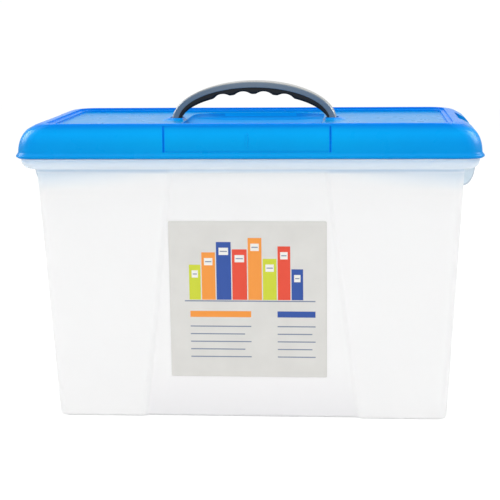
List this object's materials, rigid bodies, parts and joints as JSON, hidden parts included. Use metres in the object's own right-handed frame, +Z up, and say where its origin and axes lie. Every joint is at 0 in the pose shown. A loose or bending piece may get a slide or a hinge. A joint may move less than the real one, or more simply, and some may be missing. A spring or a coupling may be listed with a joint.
{
  "type": "portable file box",
  "caption": "Tapered frosted tub for hanging files, with a lift-off lid, an arched carrying handle with finger scallops and a swinging clip at each end.",
  "frame": {"origin": "centre of the tub's flat base, on the surface that it stands on", "axes": "+X along the length, +Z up, the labelled front faces -Y"},
  "size_m": [0.4346, 0.2062, 0.3187],
  "materials": {
    "tub": "frosted clear polypropylene, faint haze",
    "lid": "moulded polypropylene, satin gloss",
    "frame": "blue-grey moulded plastic, satin",
    "grip": "black soft-touch grip, matt",
    "clip": "blue-grey moulded plastic, satin",
    "label": "semi-gloss printed paper"
  },
  "bodies": {
    "tub": {"body": "tub", "label": "label"},
    "lid": {"lid": "lid", "handle_frame": "frame", "handle_grip": "grip"},
    "left_clip": {"left_clip": "clip"},
    "right_clip": {"right_clip": "clip"}
  },
  "joints": [
    {"name": "lid_lift", "type": "slide", "parent": "tub", "child": "lid", "axis": [0, 0, 1], "range_m": [0, 0.15]},
    {"name": "left_clip_hinge", "type": "hinge", "parent": "lid", "child": "left_clip", "pos_m": [-0.2065, 0, 0.2724], "axis": [0, 1, 0], "range_deg": [-3, 110]},
    {"name": "right_clip_hinge", "type": "hinge", "parent": "lid", "child": "right_clip", "pos_m": [0.2065, 0, 0.2724], "axis": [0, -1, 0], "range_deg": [-3, 110]}
  ]
}
